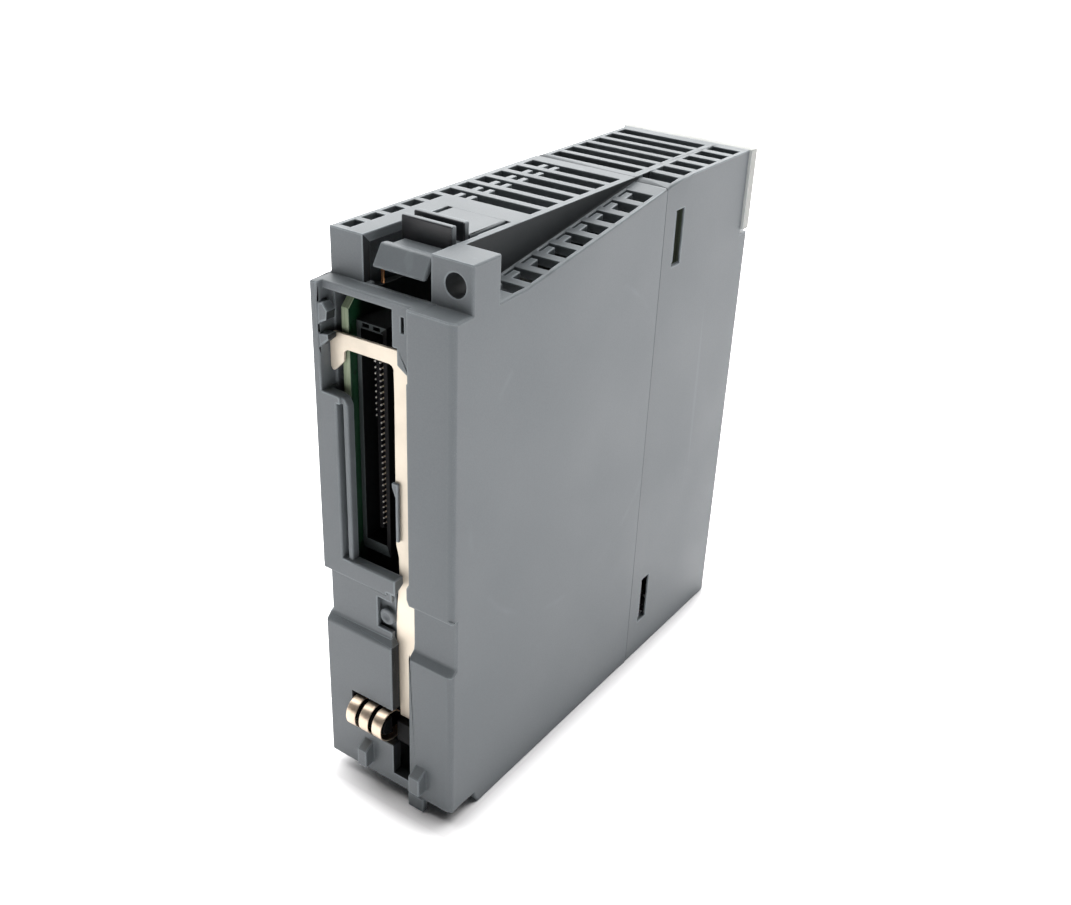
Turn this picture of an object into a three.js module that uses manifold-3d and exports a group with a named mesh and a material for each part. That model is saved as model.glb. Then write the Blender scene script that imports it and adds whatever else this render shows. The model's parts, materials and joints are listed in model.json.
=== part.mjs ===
// A narrow plug-in module for a programmable-controller rack, in millimetres.
// +Z is up, the indicator front faces -Y and the rack connector faces +Y.
// The module rests on z = 0 and is centred on the origin in x and y.
import * as THREE from "three";
import { mergeVertices } from "three/addons/utils/BufferGeometryUtils.js";
import Module from "manifold-3d";

const wasm = await Module();
wasm.setup();

// ---- driving dimensions -------------------------------------------------------------------

const PANEL_WIDTH = 27.4; // across the indicator panel, the widest piece
const SIDE = 13.2; // half the width of the casing
const HEIGHT = 98; // bottom to the flat part of the top
const DEPTH = 89.2; // rear face to front face
const SPRING_REACH = 2.4; // rear face to the outermost point of the earth contact springs
const WALL = 1.5; // casing wall
const REAR = (DEPTH - SPRING_REACH) / 2; // y of the rear face

// Every position along the module is a depth ahead of the rear face: 0 at the rear face, DEPTH at the front.
const LEDGE = 90.76; // height of the rear block, under the shoulders
const SHOULDER = 4.1; // depth at which the shoulders rise to the full height
const SEAM = 56.3; // depth of the joint between the two casing halves
const SEAM_GAP = 0.12;
const BASE = 2.7; // underside of the rear block
const RAMP_FOOT = 17; // depth at which the sloping side strip starts to climb
const RAMP_HEAD = 61; // depth at which it reaches the full height
const RAMP_Z = 91.1; // its height at the foot
const STRIP = -6.9; // x of the wall between the flat top and the sloping strip
const RECESS = 1.2; // depth of the shallow recesses in the rear face
const PITCH = 4.46; // ventilation slots on the strips and the front half
const ROW_PITCH = 4.55; // long slots over the middle of the rear half

// ---- colours ------------------------------------------------------------------------------

const BODY = plastic(0x6f757b);
const PANEL = plastic(0xc9c9c2);
const BLACK = plastic(0x17181a);
const LENS = plastic(0x2a2d30, 0.2);
const WHITE = plastic(0xe4e4dc);
const BOARD = plastic(0x3f6b4c, 0.5);
const CHIP = plastic(0x1d1e20, 0.5);
const TIN = metal(0xd9cdb9);
const GOLD = metal(0xc9a877);
const COPPER = metal(0xb87845);
const STEEL = metal(0xb9bbbd);

function plastic(color, roughness = 0.6) {
  return new THREE.MeshStandardMaterial({ color, roughness, metalness: 0 });
}

function metal(color) {
  return new THREE.MeshStandardMaterial({ color, roughness: 0.35, metalness: 1 });
}

// ---- solids -------------------------------------------------------------------------------

// A closed geometry as a solid that can be joined and cut.
function solid(geometry) {
  const bare = geometry.index ? geometry.toNonIndexed() : geometry;
  bare.deleteAttribute("normal");
  bare.deleteAttribute("uv");
  const merged = mergeVertices(bare, 1e-4);
  return new wasm.Manifold(
    new wasm.Mesh({
      numProp: 3,
      vertProperties: merged.attributes.position.array,
      triVerts: new Uint32Array(merged.index.array),
    }),
  );
}

// A box between two x values, two depths and two heights.
function block([x0, x1], [d0, d1], [z0, z1]) {
  const geometry = new THREE.BoxGeometry(x1 - x0, d1 - d0, z1 - z0);
  return solid(geometry.translate((x0 + x1) / 2, REAR - (d0 + d1) / 2, (z0 + z1) / 2));
}

function shapeOf(points) {
  const shape = new THREE.Shape(points.map(([u, v]) => new THREE.Vector2(u, v)));
  return shape;
}

// An outline of [depth, z] points carried along x.
function alongX(points, [x0, x1]) {
  const options = { depth: x1 - x0, bevelEnabled: false };
  const geometry = new THREE.ExtrudeGeometry(shapeOf(points.map(([d, z]) => [REAR - d, z])), options);
  geometry.rotateX(Math.PI / 2); // the shape's v becomes z and the sweep becomes -y
  geometry.rotateZ(Math.PI / 2); // the shape's u becomes y and the sweep becomes x
  return solid(geometry.translate(x0, 0, 0));
}

// An outline of [x, z] points carried through a range of depths.
function through(points, [d0, d1]) {
  const geometry = new THREE.ExtrudeGeometry(shapeOf(points), { depth: d1 - d0, bevelEnabled: false });
  geometry.rotateX(Math.PI / 2); // the sweep runs towards -y, deeper into the module
  return solid(geometry.translate(0, REAR - d0, 0));
}

// An outline of [x, depth] points carried up in z.
function upright(points, [z0, z1]) {
  const geometry = new THREE.ExtrudeGeometry(shapeOf(points.map(([x, d]) => [x, REAR - d])), {
    depth: z1 - z0,
    bevelEnabled: false,
  });
  return solid(geometry.translate(0, 0, z0));
}

// A round bar along y between two depths.
function bar(x, z, radius, [d0, d1], sides = 24) {
  const geometry = new THREE.CylinderGeometry(radius, radius, d1 - d0, sides);
  return solid(geometry.translate(x, REAR - (d0 + d1) / 2, z));
}

// A round bar along x.
function crossBar([x0, x1], depth, z, radius, sides = 20) {
  const geometry = new THREE.CylinderGeometry(radius, radius, x1 - x0, sides).rotateZ(Math.PI / 2);
  return solid(geometry.translate((x0 + x1) / 2, REAR - depth, z));
}

function joined(first, ...others) {
  return others.reduce((whole, piece) => whole.add(piece), first);
}

function without(first, ...cutters) {
  return cutters.reduce((whole, cutter) => whole.subtract(cutter), first);
}

const rack = new THREE.Group();

function part(name, shape, material) {
  const { numProp, vertProperties, triVerts } = shape.getMesh();
  if (numProp !== 3) throw new Error(`${name} carries more than positions`);
  const geometry = new THREE.BufferGeometry();
  geometry.setAttribute("position", new THREE.BufferAttribute(vertProperties, 3));
  geometry.setIndex(new THREE.BufferAttribute(triVerts, 1));
  geometry.computeVertexNormals();
  const mesh = new THREE.Mesh(geometry, material);
  mesh.name = name;
  rack.add(mesh);
}

// ---- casing -------------------------------------------------------------------------------

const SLOPE = (HEIGHT - RAMP_Z) / (RAMP_HEAD - RAMP_FOOT);
const rampAt = (depth) => RAMP_Z + SLOPE * (depth - RAMP_FOOT);
const INNER = SIDE - WALL;

// The rear block carries the flat face that meets the rack; its underside stands clear of the floor.
function rearShell() {
  const end = SEAM - SEAM_GAP / 2;
  const foot = [[end, 0], [7.4, 0], [6.3, BASE], [0, BASE]];
  const high = [[0, LEDGE], [SHOULDER, LEDGE], [SHOULDER, HEIGHT], [end, HEIGHT]];
  const low = [[0, LEDGE], [RAMP_FOOT, RAMP_Z], [end, rampAt(end)]];
  const innerFoot = [[end + 1, WALL], [9, WALL], [7.6, BASE + WALL], [2, BASE + WALL]];
  const innerHigh = [[2, LEDGE - 1.3], [SHOULDER + WALL, LEDGE - 1.3], [SHOULDER + WALL, HEIGHT - WALL]];
  const innerLow = [[2, LEDGE - 1.3], [RAMP_FOOT, RAMP_Z - WALL], [end + 1, rampAt(end + 1) - WALL]];
  return without(
    joined(
      alongX([...foot, ...high], [STRIP, SIDE]),
      alongX([...foot, ...low], [-SIDE, STRIP]),
      block([SIDE, SIDE + 0.4], [0, 5], [BASE, LEDGE]),
      screwBoss(),
    ),
    alongX([...innerFoot, ...innerHigh, [end + 1, HEIGHT - WALL]], [STRIP + WALL, INNER]),
    alongX([...innerFoot, ...innerLow], [-INNER, STRIP + WALL]),
  );
}

const BOSS = { x: [-SIDE, -5.8], depth: [SHOULDER, 10.4] };
const SCREW = { x: -10.07, z: 94.45, radius: 1.8 };

function screwBoss() {
  return block(BOSS.x, BOSS.depth, [LEDGE - 1, HEIGHT]);
}

// The opening around the rack connector, carried down as the gap between the two lower blocks.
const CONNECTOR_OPENING = [
  [12.1, 89.4],
  [12.1, 73.5],
  [9, 73.5],
  [8, 73.1],
  [7.4, 72],
  [7.4, 44.8],
  [-1.7, 44.8],
  [-1.7, 41.3],
  [0.1, 41.3],
  [0.1, 32.2],
  [-0.7, 31.2],
  [-0.7, 5.1],
  [-4.15, 5.1],
  [-4.25, 30.5],
  [-4.45, 32.6],
  [-4.5, 41.2],
  [-4, 42.4],
  [-4, 44.4],
  [-4.4, 45.2],
  [-4.4, 79.6],
  [-1.85, 81.2],
  [-1.85, 83.8],
  [-1, 83.8],
  [-1, 89.4],
];

const LOWER_SLOT = { x: [-0.8, 8.2], z: [11, 18.3] };

function rearFaceCuts() {
  const throughWall = [-1, 3.2];
  return [
    through(CONNECTOR_OPENING, throughWall),
    block([-4.6, 12.1], [-1, RECESS], [79.4, HEIGHT]), // lowered strip over the connector
    block([8.4, 9.2], [-1, RECESS + 0.4], [44.8, 72.2]), // groove beside the left panel
    block([7, 8.5], [-1, 0.5], [44.8, 74]), // its inner lip sits a little lower
    alongX([[-1, 29.9], [RECESS, 32.3], [RECESS, 41.3], [-1, 41.3]], [-SIDE - 1, SIDE + 1]),
    block([SIDE, SIDE + 1], [-1, 6], [32.3, 41.3]),
    block([-0.4, 3.1], [0, 2.4], [33.5, 39.3]), // pocket of the plate's stake
    alongX([[-1, 41], [3, 41], [3, 44], [0, 41.9], [-1, 41.2]], [-2.5, 0.1]), // tapered end of the sill
    block(LOWER_SLOT.x, throughWall, LOWER_SLOT.z),
    block([-3.2, -2.7], [0, 3], [86.4, 88.8]), // narrow slit beside the connector
    upright([[-SIDE - 1, -1], [-12.1, -1], [-12.1, 0], [-SIDE - 1, 0.8]], [42, HEIGHT]),
    upright([[-SIDE - 1, -1], [-12.1, -1], [-12.1, 0], [-SIDE - 1, 0.8]], [0, 31]),
  ];
}

// Material behind the recesses, so that the wall keeps its strength there.
function rearFacePads() {
  return [
    block([-INNER, -5.2], [1.9, 3], [31, 43]),
    block([3.3, INNER], [1.9, 3], [31, 43]),
    block([-INNER, -1], [RECESS, 2], [84, 89.6]),
    block([0.1, 3.4], [2.4, 3], [31, 41.3]),
  ];
}

function teeth() {
  return [
    through([[12.3, 84.3], [10.5, 85.2], [10.3, 86.6], [11.3, 87.8], [12.3, 87.5]], [0.1, 1.9]),
    through([[12.3, 80.5], [10.25, 82.2], [10.35, 83], [12.3, 82.7]], [0.1, 1.9]),
  ];
}

// Two sloping pegs hook into the foot of the rack, and a small foot hangs under one of them.
const PEGS = [[3.75, 5.7], [-7.85, -5.6]];

function pegs() {
  const side = [[0.5, 5], [-2, 5], [-2, 8.5], [0, 9.6], [0.5, 9.6]];
  return [...PEGS.map((span) => alongX(side, span)), block([-7.4, -4.1], [-0.3, 1], [0, BASE + 0.1])];
}

// Ventilation slots of the rear half.
const SMALL_SLOTS = [0, 1, 2, 3, 4].map((i) => 7 + PITCH * i);
const LONG_ROWS = [0, 1, 2, 3, 4, 5].map((i) => 29.14 + ROW_PITCH * i);
const RAMP_SLOTS = [0, 1, 2, 3, 4, 5, 6, 7, 8].map((i) => 15.67 + PITCH * i);

// A slot is left uncut where its short tabs stand out from the rearward edge.
function tabbedSlot(x, depth, z, tabs, tabReach) {
  return without(block(x, depth, z), ...tabs.map((span) => block(span, [depth[0] - 1, depth[0] + tabReach], z)));
}

function rearTopSlots() {
  const deep = [HEIGHT - 3, HEIGHT + 1];
  const small = SMALL_SLOTS.map((d) => block([10.15, 12.2], [d - 1.6, d + 1.6], deep));
  const long = LONG_ROWS.map((d) =>
    tabbedSlot([-5.6, 12], [d - 1.48, d + 1.48], deep, [[5.7, 6.75], [8, 9.05]], 1.95),
  );
  const ramp = RAMP_SLOTS.map((d) => {
    const z = rampAt(Math.max(d, RAMP_FOOT));
    return tabbedSlot([-12.4, -7.3], [d - 1.5, d + 1.5], [z - 3, z + 1.5], [[-9.1, -7.8]], 2.1);
  });
  return [...small, ...long, ...ramp];
}

// The tongue of the latch lies in this gap, open to the rear down to the ledge.
const LATCH_GAP = { x: [-5.6, 6.1], front: 22.67 };

function latchCuts() {
  return [
    block([-5.75, 6.65], [SHOULDER - 1, 14.6], [LEDGE + 0.01, HEIGHT + 1]),
    block([-5.2, 5.9], [4.7, 14.6], [LEDGE - 3, HEIGHT]),
    block(LATCH_GAP.x, [14, LATCH_GAP.front], [HEIGHT - 3, HEIGHT + 1]),
    bar(SCREW.x, SCREW.z, SCREW.radius, [0, 14]),
  ];
}

function undersideSlots(depths) {
  return depths.flatMap((d) => [
    block([-10.5, -1], [d - 1.4, d + 1.4], [-1, 3]),
    block([1, 10.5], [d - 1.4, d + 1.4], [-1, 3]),
  ]);
}

// Two snap tongues reach from the rear half into windows of the front half.
const SNAPS = [[7.8, 17.8], [82.7, 92.6]];
const WINDOW = [59.95, 62.9];

function snapTongues() {
  return [-1, 1].flatMap((side) =>
    SNAPS.flatMap(([low, high]) => [
      sideBlock(side, [INNER - 1.1, INNER - 0.3], [SEAM - 4, WINDOW[0] + 1.3], [low + 0.3, high - 0.3]),
      sideBlock(side, [INNER - 1.1, INNER + 0.1], [SEAM - 4, SEAM - 1], [low + 0.3, high - 0.3]),
      sideBlock(side, [INNER - 0.4, SIDE - 0.5], [WINDOW[0] + 0.3, WINDOW[0] + 1.3], [low + 0.4, high - 0.4]),
    ]),
  );
}

function sideBlock(side, [a, b], depth, z) {
  return block(side > 0 ? [a, b] : [-b, -a], depth, z);
}

function rearCasing() {
  const shell = joined(rearShell(), ...rearFacePads(), ...snapTongues());
  const rows = [0, 1, 2, 3, 4, 5, 6].map((i) => 14 + 6 * i);
  const cut = without(shell, ...rearFaceCuts(), ...rearTopSlots(), ...latchCuts(), ...undersideSlots(rows));
  return joined(cut, ...teeth(), ...pegs(), ...boardPosts());
}

// Posts on the inner wall that carry the main board's two screws.
const POSTS = [[12, 26], [48, 78]];

function boardPosts() {
  return POSTS.map(([depth, z]) =>
    without(crossBar([BOARD_X[1] + 0.1, INNER + 0.2], depth, z, 3, 16), crossBar([8, 14], depth, z, 1.1, 12)),
  );
}

// The front half: the upper front wall sits back to carry the indicator panel.
const PANEL_SEAT = 86.2;
const PANEL_FACE = 88.4;
const PANEL_FOOT = 83;

function frontCasing() {
  const start = SEAM + SEAM_GAP / 2;
  const outline = [[start, 0], [DEPTH, 0], [DEPTH, PANEL_FOOT - 0.9], [PANEL_SEAT, PANEL_FOOT - 0.9]];
  const high = [[PANEL_SEAT, HEIGHT], [start, HEIGHT]];
  const low = [[PANEL_SEAT, HEIGHT], [RAMP_HEAD + 4, HEIGHT], [RAMP_HEAD, HEIGHT - 0.15], [start, rampAt(start)]];
  const inner = [[start - 1, WALL], [DEPTH - WALL, WALL], [DEPTH - WALL, PANEL_FOOT - 2.4]];
  const innerTop = [[PANEL_SEAT - WALL, PANEL_FOOT - 2.4], [PANEL_SEAT - WALL, HEIGHT - WALL]];
  const innerRamp = [[RAMP_HEAD, HEIGHT - WALL], [start - 1, rampAt(start - 1) - WALL]];
  const shell = without(
    joined(alongX([...outline, ...high], [STRIP, SIDE]), alongX([...outline, ...low], [-SIDE, STRIP])),
    alongX([...inner, ...innerTop, ...innerRamp], [-INNER, INNER]),
  );
  const rows = [0, 1, 2, 3, 4].map((i) => 61 + 5.6 * i);
  return without(shell, ...frontTopSlots(), ...snapWindows(), ...frontFaceCuts(), ...undersideSlots(rows));
}

function frontTopSlots() {
  const deep = [HEIGHT - 3, HEIGHT + 1];
  return [0, 1, 2, 3, 4, 5].flatMap((i) => {
    const row = 60 + PITCH * i;
    const side = 60 + 4.52 * i;
    return [
      block([-5.3, 12], [row - 1.47, row + 1.47], deep),
      block([-12.3, -6.8], [side - 1.42, side + 1.42], deep),
    ];
  });
}

// Behind each window the wall is thinned, which leaves room for the tongue to spring aside.
function snapWindows() {
  return [-1, 1].flatMap((side) =>
    SNAPS.flatMap(([low, high]) => [
      sideBlock(side, [INNER - 1, SIDE + 1], WINDOW, [low, high]),
      sideBlock(side, [INNER - 1, SIDE - 0.45], [WINDOW[1] - 1, WINDOW[1] + 3], [low - 0.5, high + 0.5]),
    ]),
  );
}

// ---- front controls -----------------------------------------------------------------------

const SWITCH_X = 0;
const SWITCH_Z = [73.5, 60];
const DIAL_FACE = DEPTH - 0.6;
const JACK_X = [-4.9, 8.6]; // the jacks stand on the main board
const JACK_Z = [40, 19]; // middle heights
const JACK_HALF = 8; // half their height
const PORT = { x: [-2.9, 4.6], half: 5.9 };

function frontFaceCuts() {
  const throughWall = [DEPTH - 3, DEPTH + 1];
  const dials = SWITCH_Z.map((z) => bar(SWITCH_X, z, 4.6, throughWall, 32));
  const ports = JACK_Z.map((z) => block([JACK_X[0] - 0.3, JACK_X[1] + 0.3], throughWall, [z - 8.3, z + 8.3]));
  const lamps = LAMP_X.flatMap((x) => LAMP_Z.map((z) => block([x - 1.1, x + 1.1], [PANEL_SEAT - 3, DEPTH], [z - 0.8, z + 0.8])));
  return [...dials, ...ports, ...lamps];
}

const LAMP_X = [-4.5, 4.5];
const LAMP_Z = [94.2, 91.4, 88.6, 85.8];

function ledPanel() {
  const half = PANEL_WIDTH / 2;
  const lamps = LAMP_X.flatMap((x) =>
    LAMP_Z.map((z) => block([x - 1.3, x + 1.3], [PANEL_SEAT, DEPTH + 1], [z - 0.9, z + 0.9])),
  );
  return without(block([-half, half], [PANEL_SEAT + 0.1, PANEL_FACE], [PANEL_FOOT, HEIGHT]), ...lamps);
}

// A clear block with one light pipe for each lamp.
function lightGuide() {
  const pipes = LAMP_X.flatMap((x) =>
    LAMP_Z.map((z) => block([x - 0.85, x + 0.85], [84, PANEL_FACE - 0.2], [z - 0.6, z + 0.6])),
  );
  return joined(block([-6.5, 6.5], [82.9, 84.4], [84.4, 95.6]), ...pipes);
}

function lampRow(x) {
  const lamps = LAMP_Z.map((z) => block([x - 0.6, x + 0.6], [81.9, 82.7], [z - 0.4, z + 0.4]));
  return joined(block([x - 0.9, x + 0.9], [81.5, 82], [LAMP_Z[3] - 0.8, LAMP_Z[0] + 0.8]), ...lamps);
}

function switchBody(z) {
  const half = 5;
  const body = block([SWITCH_X - half, SWITCH_X + half], [81.5, DIAL_FACE - 1.3], [z - half, z + half]);
  return without(body, bar(SWITCH_X, z, 3.3, [84.4, 90], 32));
}

// The dial has a screwdriver slot that doubles as the pointer, and its rim carries ten notches.
function switchRotor(z) {
  const dial = bar(SWITCH_X, z, 3.0, [84.6, DIAL_FACE], 40);
  const notches = Array.from({ length: 10 }, (_, i) => {
    const angle = (i / 10) * 2 * Math.PI;
    const notch = new THREE.BoxGeometry(0.5, 2, 0.5).rotateY(angle);
    return solid(notch.translate(SWITCH_X + 3 * Math.sin(angle), REAR - DIAL_FACE + 0.1, z + 3 * Math.cos(angle)));
  });
  const cut = [DIAL_FACE - 0.8, DIAL_FACE + 1];
  const slot = block([SWITCH_X - 0.45, SWITCH_X + 0.45], cut, [z - 2.2, z + 2.2]);
  const pointer = through([[SWITCH_X - 1, z + 1.2], [SWITCH_X + 1, z + 1.2], [SWITCH_X, z + 2.7]], cut);
  return without(dial, ...notches, slot, pointer);
}

function jackShield(z) {
  const zs = [z - JACK_HALF, z + JACK_HALF];
  const can = block(JACK_X, [70.5, DEPTH - 0.2], zs);
  const inside = block([JACK_X[0] + 0.3, JACK_X[1] + 1], [70.8, DEPTH - 0.6], [zs[0] + 0.3, zs[1] - 0.3]);
  const port = block(PORT.x, [DEPTH - 2, DEPTH + 1], [z - PORT.half, z + PORT.half]);
  const key = block([PORT.x[0] - 1.4, PORT.x[1]], [DEPTH - 2, DEPTH + 1], [z - 1.9, z + 1.9]);
  return without(can, inside, port, key);
}

function jackInsert(z) {
  const zs = [z - JACK_HALF + 0.6, z + JACK_HALF - 0.6];
  const body = block([JACK_X[0] + 0.6, JACK_X[1] - 0.1], [71.1, DEPTH - 0.9], zs);
  const port = block(PORT.x, [75, DEPTH], [z - PORT.half, z + PORT.half]);
  const key = block([PORT.x[0] - 1.4, PORT.x[1]], [75, DEPTH], [z - 1.9, z + 1.9]);
  return without(body, port, key);
}

// Eight contact wires on one carrier slope down into the port.
function jackContacts(z) {
  const wire = [[76.6, PORT.x[1] - 1], [84.6, PORT.x[1] - 0.5], [84.6, PORT.x[1] - 0.15], [76.2, PORT.x[1] - 0.5]];
  const wires = Array.from({ length: 8 }, (_, i) => {
    const at = z + (i - 3.5) * 1.02;
    return upright(wire.map(([d, x]) => [x, d]), [at - 0.2, at + 0.2]);
  });
  return joined(block([PORT.x[1] - 1.2, PORT.x[1] - 0.2], [75.4, 76.8], [z - 4.2, z + 4.2]), ...wires);
}

// ---- latch and earth contacts -------------------------------------------------------------

const LATCH_X = [-4.7, 4.7];
const RIDGES = [[10.1, 11.2], [12.9, 14.1]];
const LATCH_ROOT = 22.6;

// A finger lever: the tongue bends at its front end and the claw drops from the rack's top rail.
function latchLever() {
  const tongue = block([-4.8, 5.3], [13.8, LATCH_ROOT], [HEIGHT - 1.4, HEIGHT]);
  const ridges = RIDGES.map((span) => block(LATCH_X, span, [HEIGHT - 2, HEIGHT + 2]));
  const web = block(LATCH_X, [10.4, 14.3], [HEIGHT - 2.6, HEIGHT - 0.9]);
  const arm = block([-4.5, 4.2], [5.8, 11.2], [95.2, 96.5]);
  const drop = block([-4.4, 4.2], [10.2, 11.2], [95.2, 98]);
  const hook = [[3.7, 93.75], [3.7, 94.15], [5.5, 97], [6.9, 96.9], [6.9, 95.3], [5.4, 94.9], [4.4, 93.75]];
  return joined(tongue, ...ridges, web, arm, drop, alongX(hook, [-4.9, 4.6]));
}

const SPRING_WIDTH = 2.05;
const SPRING_X = [6.7, 3.85, 1.0]; // middles of the three contacts
const SPRING_PATH = [
  [3.9, 11.7],
  [1.2, 11.7],
  [-0.6, 12.2],
  [-1.9, 13.3],
  [-SPRING_REACH + 0.125, 14.7],
  [-2.1, 16.0],
  [-1.1, 17.1],
  [0.4, 17.5],
  [1.8, 17.2],
  [2.6, 16.4],
];
const SPRING_GAUGE = 0.25;

// A strip of even thickness that follows a path of [depth, z] points.
function strip(path, gauge, span) {
  const sides = path.map(([d, z], i) => {
    const [d0, z0] = path[Math.max(i - 1, 0)];
    const [d1, z1] = path[Math.min(i + 1, path.length - 1)];
    const length = Math.hypot(d1 - d0, z1 - z0);
    const across = [((z1 - z0) / length) * (gauge / 2), (-(d1 - d0) / length) * (gauge / 2)];
    return [[d + across[0], z + across[1]], [d - across[0], z - across[1]]];
  });
  return alongX([...sides.map((s) => s[0]), ...sides.map((s) => s[1]).reverse()], span);
}

function earthSpring(x) {
  return strip(SPRING_PATH, SPRING_GAUGE, [x - SPRING_WIDTH / 2, x + SPRING_WIDTH / 2]);
}

function springHolder() {
  const body = block([-4.3, 8.6], [2.8, 7.4], [9.8, 19.2]);
  const nose = block([-4, -0.85], [0.9, 2.9], [11.9, 16]);
  const pocket = block([-0.4, 8], [1, 6.2], [11.3, 18.4]);
  return without(joined(body, nose), pocket);
}

// The pale sheet around the connector: a crossbar, a short hooked arm and a long leg.
const PLATE = [
  [11.2, 82.8],
  [11.95, 81.8],
  [11.95, 76.9],
  [11.6, 76.4],
  [11.2, 76.4],
  [9.27, 78.3],
  [9.19, 79.9],
  [8.5, 80.4],
  [0.5, 80.5],
  [-0.1, 80.3],
  [-0.38, 79.8],
  [-0.45, 76],
  [-0.3, 50],
  [-0.8, 47.9],
  [-0.85, 44.8],
  [-0.1, 36],
  [-0.05, 31.5],
  [-0.6, 16.6],
  [-0.6, 16.3],
  [-4.85, 16.3],
  [-4.85, 83.1],
];
const SHEET = [2.1, 2.6];

function earthPlate() {
  return through(PLATE, SHEET);
}

function clipRib() {
  return through([[-1.35, 51], [-0.8, 51], [-0.8, 58.9], [-0.15, 60.5], [-0.15, 61.3], [-1.35, 61.3]], [1.5, 2.05]);
}

// ---- boards and connectors ----------------------------------------------------------------

const BOARD_X = [8.9, 10.4];

function mainBoard() {
  const outline = [[3.1, 6], [3.1, 86.5], [4.6, 88.1], [66, 88.1], [69.5, 84.6], [69.5, 6]];
  const holes = POSTS.map(([depth, z]) => crossBar([8, 11], depth, z, 1.6, 16));
  return without(alongX(outline, BOARD_X), ...holes);
}

const BUS = { x: [2.9, 8.8], depth: [4.5, 13], z: [45, 84.5] };
const CAVITY = { x: [3.7, 7.9], z: [47, 83.3] };

// The shroud of the rack connector, with a centre blade that carries the contacts on both faces.
function busShroud() {
  const shell = block(BUS.x, BUS.depth, BUS.z);
  const cavity = block(CAVITY.x, [0, 11.5], CAVITY.z);
  const windows = [[4.2, 5.5], [6.3, 7.6]].map((span) => block(span, [0, 5.4], [83.65, 84.2]));
  const blade = block([5.3, 6.1], [5.6, 12], [49.1, 81.2]);
  return joined(without(shell, cavity, ...windows), blade);
}

const CONTACTS = 31;
const CONTACT_PITCH = 1;
const FIRST_CONTACT = 50.1; // height of the lowest contact

// One comb of contacts lies along a face of the blade.
function busContacts(span) {
  const pins = Array.from({ length: CONTACTS }, (_, i) => {
    const z = FIRST_CONTACT + CONTACT_PITCH * i;
    return block(span, [6.2, 10.8], [z - 0.22, z + 0.22]);
  });
  return joined(block(span, [10.6, 11.4], [49.4, 80.8]), ...pins);
}

function frontBoard() {
  return block([-11, 8.4], [80, 81.4], [50.6, 96]);
}

function boardLink() {
  return block([4.6, 8.7], [70, 79.9], [62, 82]);
}

function chip(depth, z) {
  return block([7.6, 8.8], depth, z);
}

function can(depth, z, radius, reach) {
  return joined(
    crossBar([8.8 - reach, 8.8], depth, z, radius, 20),
    block([7.9, 8.8], [depth - radius, depth + radius], [z - radius, z + radius]),
  );
}

function boardScrew([depth, z]) {
  const shank = crossBar([8.2, INNER - 0.3], depth, z, 0.95, 12);
  return without(
    joined(crossBar([7.2, 8.8], depth, z, 2.6, 16), shank),
    block([7, 7.6], [depth - 2, depth + 2], [z - 0.3, z + 0.3]),
    block([7, 7.6], [depth - 0.3, depth + 0.3], [z - 2, z + 2]),
  );
}

// ---- assembly -----------------------------------------------------------------------------

part("rear_casing", rearCasing(), BODY);
part("front_casing", frontCasing(), BODY);
part("led_panel", ledPanel(), PANEL);
part("latch_lever", latchLever(), BODY);
SPRING_X.forEach((x, i) => part(`earth_spring_${i + 1}`, earthSpring(x), GOLD));
part("spring_holder", springHolder(), BLACK);
part("earth_plate", earthPlate(), TIN);
part("plate_clip", clipRib(), BODY);
part("plate_stake", bar(1.5, 35.8, 1.5, [1.5, 2.3], 20), BODY);
part("latch_strip", block([5.3, 5.9], [6.9, 7.2], [90.2, 94.5]), COPPER);
part("bus_shroud", busShroud(), BLACK);
part("bus_contacts_a", busContacts([4.9, 5.25]), GOLD);
part("bus_contacts_b", busContacts([6.15, 6.5]), GOLD);
part("main_board", mainBoard(), BOARD);
POSTS.forEach((post, i) => part(`board_screw_${i + 1}`, boardScrew(post), STEEL));
part("front_board", frontBoard(), BOARD);
part("board_link", boardLink(), BLACK);
part("light_guide", lightGuide(), LENS);
LAMP_X.forEach((x, i) => part(`lamp_row_${i + 1}`, lampRow(x), WHITE));
SWITCH_Z.forEach((z, i) => {
  part(`switch_body_${i + 1}`, switchBody(z), BLACK);
  part(`switch_rotor_${i + 1}`, switchRotor(z), WHITE);
});
JACK_Z.forEach((z, i) => {
  part(`jack_shield_${i + 1}`, jackShield(z), STEEL);
  part(`jack_insert_${i + 1}`, jackInsert(z), BLACK);
  part(`jack_contacts_${i + 1}`, jackContacts(z), GOLD);
  part(`pulse_transformer_${i + 1}`, block([4.2, 8.8], [54, 67], [z - 6, z + 6]), BLACK);
});
part("processor_chip", chip([26, 46], [46, 66]), CHIP);
part("bus_chip", chip([18, 34], [22, 38]), CHIP);
part("memory_chip_1", chip([52, 62], [58, 70]), CHIP);
part("memory_chip_2", chip([26, 38], [70, 80]), CHIP);
part("crystal", block([6, 8.8], [40, 51], [71, 75.4]), STEEL);
part("capacitor_1", can(20, 12, 4, 7), STEEL);
part("capacitor_2", can(31, 12, 4, 7), STEEL);
part("power_module", block([-1, 8.8], [36, 52], [8, 28]), BLACK);

export default rack;
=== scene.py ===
"""Looks of a narrow rack module: refined copies of its CAD nodes, and new detail around them."""

import itertools
import json
import math

import bmesh
import bpy
from mathutils import Matrix, Vector


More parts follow.
